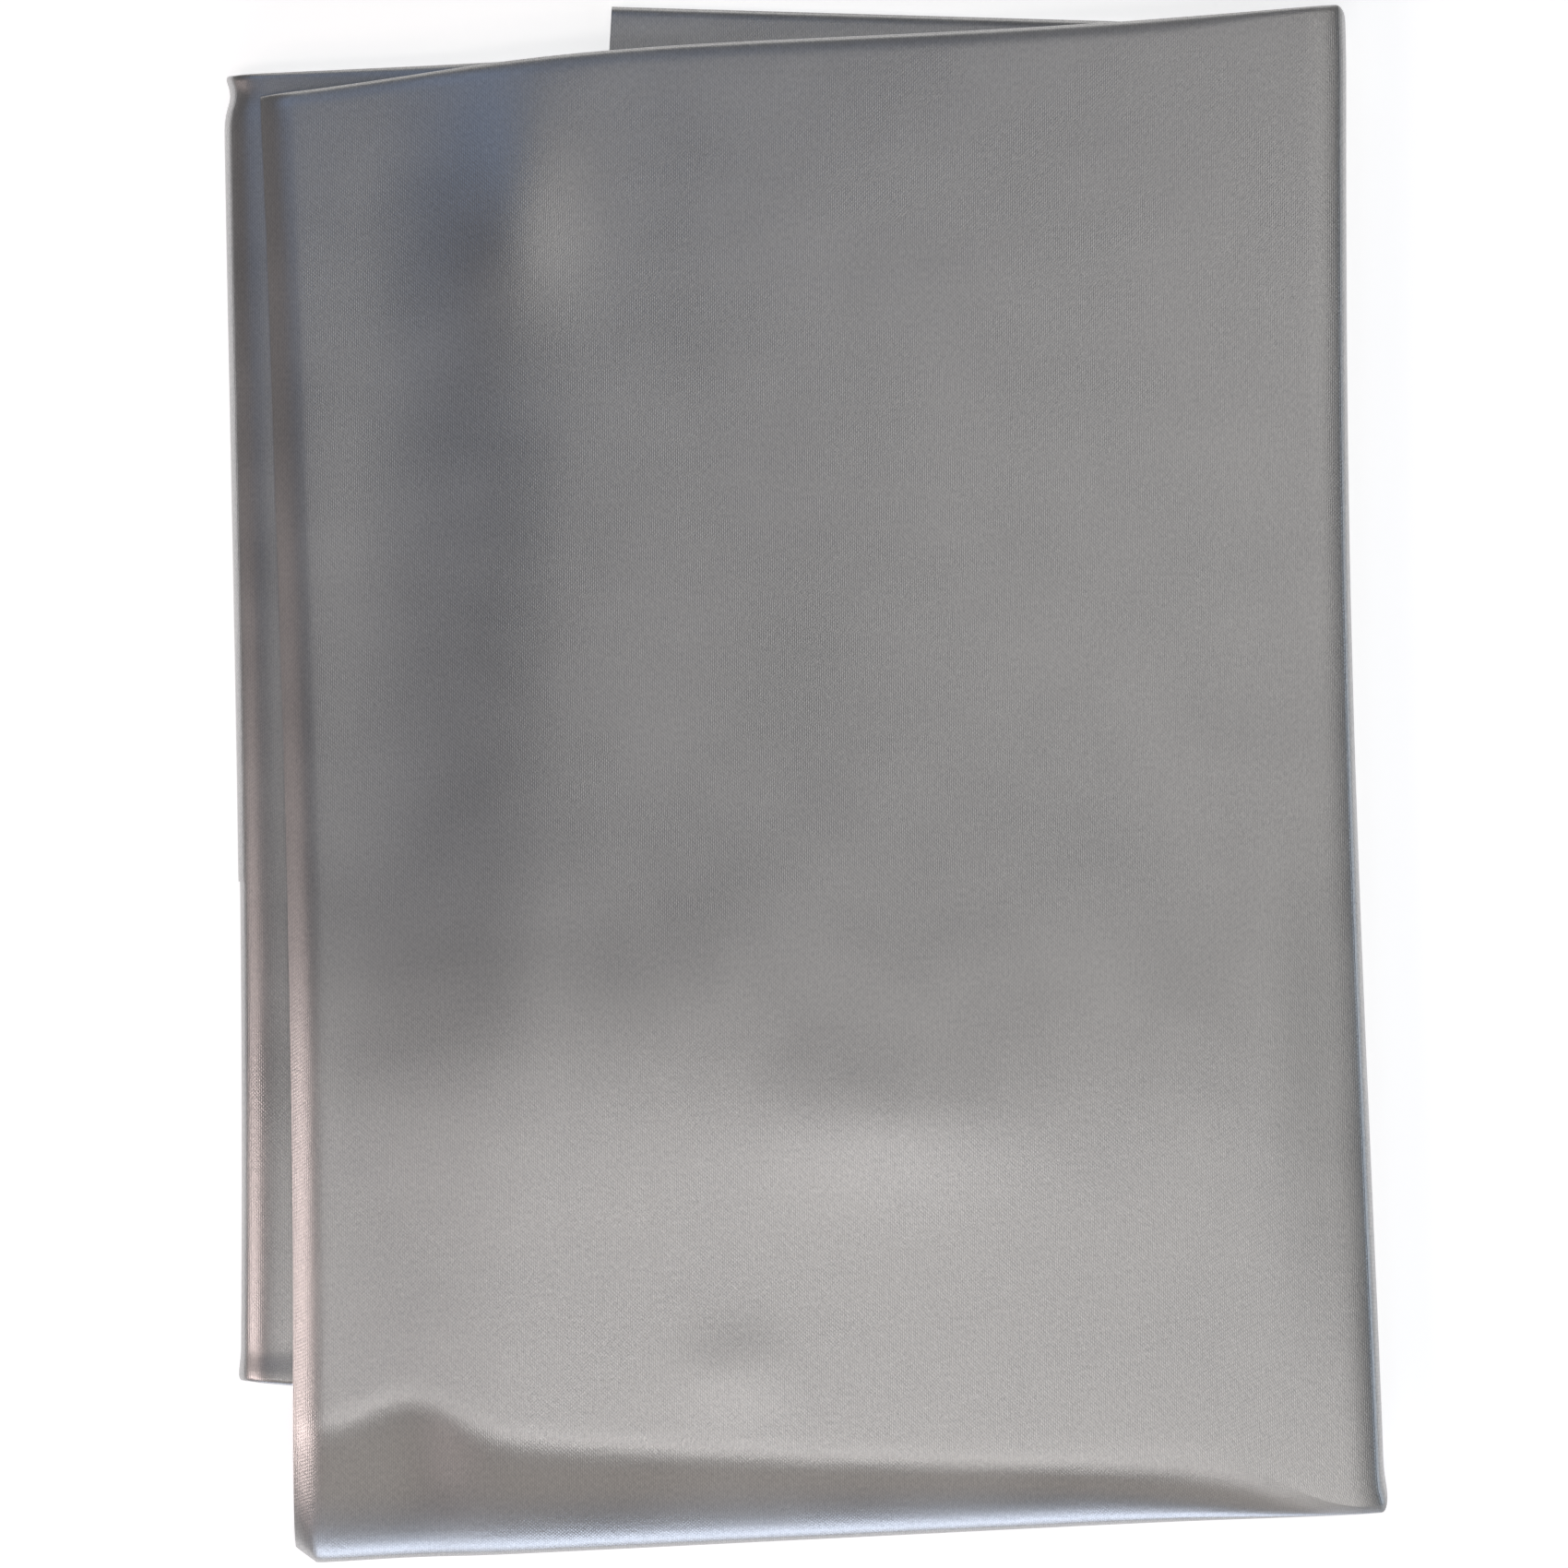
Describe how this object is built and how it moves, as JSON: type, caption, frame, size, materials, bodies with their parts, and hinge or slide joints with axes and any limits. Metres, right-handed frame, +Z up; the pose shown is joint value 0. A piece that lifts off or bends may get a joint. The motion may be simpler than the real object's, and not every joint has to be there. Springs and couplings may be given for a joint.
{
  "type": "folded fire blanket",
  "caption": "Square sheet of coated glass-fibre cloth, folded in three and pleated into flat leaves that open out to smother a small fire.",
  "frame": {"origin": "centre of the folded bundle's bounding box, on the surface it lies on", "axes": "+Z up, +Y from the near edge to the far edge along the pleats, +X from the open side to the side with two pleats"},
  "size_m": [0.3356, 0.451, 0.0174],
  "materials": {
    "coated_cloth": "satin silver-grey pigmented coating over a fine plain weave of glass yarn"
  },
  "bodies": {
    "tail_leaf": {"tail_outer_panel": "coated_cloth", "tail_near_flap": "coated_cloth", "tail_far_flap": "coated_cloth", "tail_near_fold": "coated_cloth", "tail_far_fold": "coated_cloth", "first_pleat_outer_panel": "coated_cloth", "first_pleat_near_flap": "coated_cloth", "first_pleat_far_flap": "coated_cloth"},
    "lower_leaf": {"lower_far_flap": "coated_cloth", "lower_near_flap": "coated_cloth", "lower_outer_panel": "coated_cloth", "lower_near_fold": "coated_cloth", "lower_far_fold": "coated_cloth", "second_pleat_outer_panel": "coated_cloth", "second_pleat_near_flap": "coated_cloth", "second_pleat_far_flap": "coated_cloth"},
    "middle_leaf": {"middle_outer_panel": "coated_cloth", "middle_near_flap": "coated_cloth", "middle_far_flap": "coated_cloth", "middle_near_fold": "coated_cloth", "middle_far_fold": "coated_cloth", "third_pleat_outer_panel": "coated_cloth", "third_pleat_near_flap": "coated_cloth", "third_pleat_far_flap": "coated_cloth"},
    "top_leaf": {"top_far_flap": "coated_cloth", "top_near_flap": "coated_cloth", "top_outer_panel": "coated_cloth", "top_near_fold": "coated_cloth", "top_far_fold": "coated_cloth"}
  },
  "joints": [
    {"name": "first_pleat", "type": "hinge", "parent": "tail_leaf", "child": "lower_leaf", "pos_m": [0.15832, 0, 0.0042], "axis": [-0.0267, 0.9996, 0], "range_deg": [0, 180], "deforming": ["first_pleat_outer_panel", "first_pleat_near_flap", "first_pleat_far_flap"]},
    {"name": "second_pleat", "type": "hinge", "parent": "lower_leaf", "child": "middle_leaf", "pos_m": [-0.16128, 0, 0.0065], "axis": [0.0113, -0.9999, 0], "range_deg": [0, 180], "deforming": ["second_pleat_outer_panel", "second_pleat_near_flap", "second_pleat_far_flap"]},
    {"name": "third_pleat", "type": "hinge", "parent": "middle_leaf", "child": "top_leaf", "pos_m": [0.15832, 0, 0.0132], "axis": [-0.0267, 0.9996, 0], "range_deg": [0, 180], "deforming": ["third_pleat_outer_panel", "third_pleat_near_flap", "third_pleat_far_flap"]}
  ]
}
